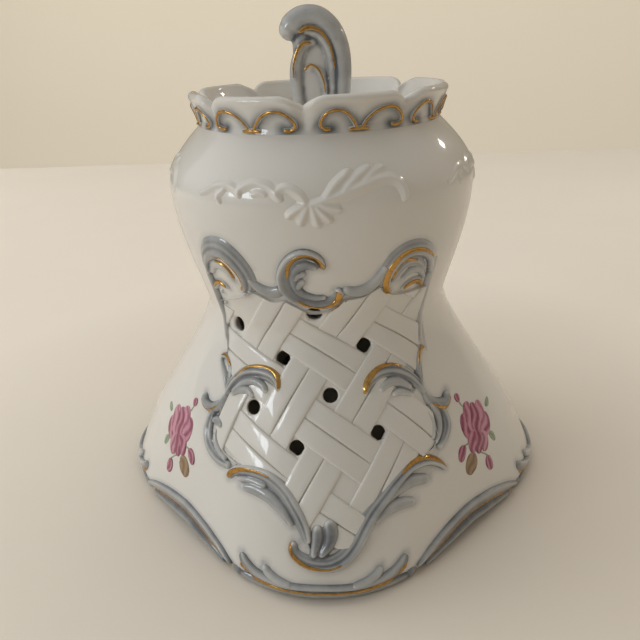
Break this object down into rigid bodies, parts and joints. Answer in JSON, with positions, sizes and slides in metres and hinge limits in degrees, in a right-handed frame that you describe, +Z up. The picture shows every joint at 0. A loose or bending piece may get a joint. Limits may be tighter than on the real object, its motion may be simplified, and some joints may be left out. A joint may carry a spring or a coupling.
{
  "type": "porcelain bell",
  "caption": "Flared porcelain bell with pierced basketweave panels, lobed collar, leaf-scroll handle and a swinging clapper hung on a ring.",
  "frame": {"origin": "on the surface that the bell stands on, under its axis", "axes": "+Z up the bell's axis, the front panel faces -Y, and +X is to the right seen from the front"},
  "size_m": [0.2028, 0.2028, 0.2061],
  "materials": {
    "white_porcelain": "glossy warm-white glaze",
    "grey_blue_glaze": "glossy grey-blue glaze with gilt lines",
    "clapper_porcelain": "glossy white glaze",
    "brass": "satin drawn brass"
  },
  "bodies": {
    "bell": {"bell_shell": "white_porcelain", "crown_collar": "grey_blue_glaze", "collar_scrolls": "grey_blue_glaze", "scroll_handle": "grey_blue_glaze", "hem_feet": "grey_blue_glaze", "front_lattice": "white_porcelain", "front_crest_scroll": "grey_blue_glaze", "front_left_top_scroll": "grey_blue_glaze", "front_right_top_scroll": "grey_blue_glaze", "front_left_side_scroll": "grey_blue_glaze", "front_right_side_scroll": "grey_blue_glaze", "front_lower_left_scroll": "grey_blue_glaze", "front_lower_right_scroll": "grey_blue_glaze", "back_lattice": "white_porcelain", "back_crest_scroll": "grey_blue_glaze", "back_left_top_scroll": "grey_blue_glaze", "back_right_top_scroll": "grey_blue_glaze", "back_left_side_scroll": "grey_blue_glaze", "back_right_side_scroll": "grey_blue_glaze", "back_lower_left_scroll": "grey_blue_glaze", "back_lower_right_scroll": "grey_blue_glaze", "front_garland": "white_porcelain", "right_garland": "white_porcelain", "back_garland": "white_porcelain", "left_garland": "white_porcelain", "front_hem_scroll": "grey_blue_glaze", "right_hem_scroll": "grey_blue_glaze", "back_hem_scroll": "grey_blue_glaze", "left_hem_scroll": "grey_blue_glaze", "front_right_hem_scroll": "grey_blue_glaze", "back_right_hem_scroll": "grey_blue_glaze", "back_left_hem_scroll": "grey_blue_glaze", "front_left_hem_scroll": "grey_blue_glaze", "clapper_lug": "white_porcelain"},
    "ring": {"hanger_ring": "brass"},
    "clapper": {"clapper_stem": "brass", "clapper_ball": "clapper_porcelain", "clapper_cap": "brass"}
  },
  "joints": [
    {"name": "ring_swing", "type": "hinge", "parent": "bell", "child": "ring", "pos_m": [0, 0, 0.15689], "axis": [0, 1, 0], "range_deg": [-27.5, 27.5]},
    {"name": "clapper_sway", "type": "hinge", "parent": "ring", "child": "clapper", "pos_m": [0, 0, 0.14499], "axis": [1, 0, 0], "range_deg": [-4, 4]}
  ]
}
